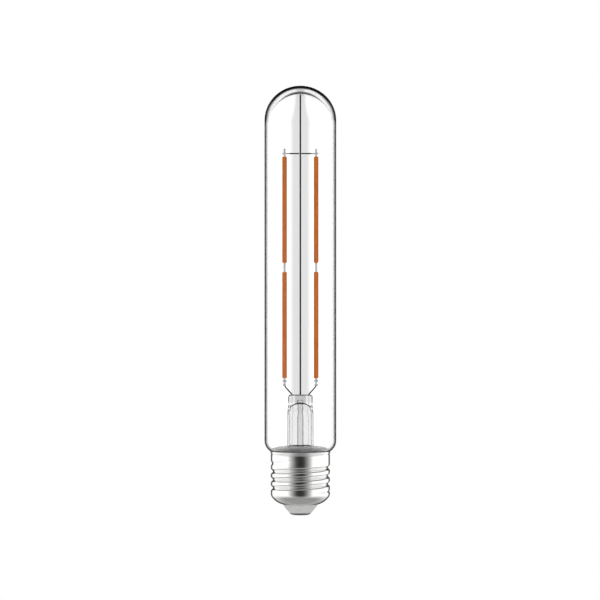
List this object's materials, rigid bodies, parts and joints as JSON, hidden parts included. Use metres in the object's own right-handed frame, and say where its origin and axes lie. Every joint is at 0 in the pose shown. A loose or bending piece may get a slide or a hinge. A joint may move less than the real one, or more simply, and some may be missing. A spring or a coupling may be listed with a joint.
{
  "type": "tubular light bulb",
  "caption": "Long clear tubular glass bulb with slim upright light filaments on a pressed glass stem, closed by a rolled metal screw cap.",
  "frame": {"origin": "middle of the centre contact's flat bottom, on the bulb's axis", "axes": "+Z along the bulb's axis from the contact to the dome; the filaments stand side by side along X; -Y is the front seen in the picture"},
  "size_m": [0.0318, 0.0318, 0.19],
  "materials": {
    "clear_glass": "clear polished",
    "stem_glass": "clear, flame worked",
    "cap_metal": "bright rolled sheet",
    "insulator_glass": "satin, light grey",
    "contact_metal": "dull metal",
    "cement": "matt",
    "phosphor": "soft satin, orange",
    "strip_ceramic": "matt",
    "chip_blue": "glossy",
    "tab_metal": "dull metal",
    "wire_metal": "drawn wire",
    "board": "laminate",
    "component_black": "moulded",
    "capacitor_sleeve": "shrink sleeve",
    "resistor_body": "lacquered"
  },
  "bodies": {
    "root": {"bridge_rectifier": "component_black", "bridge_wire": "wire_metal", "cap_insulator": "insulator_glass", "capping_cement": "cement", "centre_contact": "contact_metal", "centre_support_wire": "wire_metal", "driver_board": "board", "driver_chip": "component_black", "exhaust_tube": "stem_glass", "fuse_resistor": "resistor_body", "glass_envelope": "clear_glass", "lead_in_wire_left": "wire_metal", "lead_in_wire_right": "wire_metal", "live_lead": "wire_metal", "lower_left_bottom_tab": "tab_metal", "lower_left_chips": "chip_blue", "lower_left_coat": "phosphor", "lower_left_strip": "strip_ceramic", "lower_left_top_tab": "tab_metal", "lower_right_bottom_tab": "tab_metal", "lower_right_chips": "chip_blue", "lower_right_coat": "phosphor", "lower_right_strip": "strip_ceramic", "lower_right_top_tab": "tab_metal", "neutral_lead": "wire_metal", "screw_shell": "cap_metal", "smoothing_capacitor": "capacitor_sleeve", "stem": "stem_glass", "upper_left_bottom_tab": "tab_metal", "upper_left_chips": "chip_blue", "upper_left_coat": "phosphor", "upper_left_strip": "strip_ceramic", "upper_left_top_tab": "tab_metal", "upper_right_bottom_tab": "tab_metal", "upper_right_chips": "chip_blue", "upper_right_coat": "phosphor", "upper_right_strip": "strip_ceramic", "upper_right_top_tab": "tab_metal"}
  },
  "joints": []
}
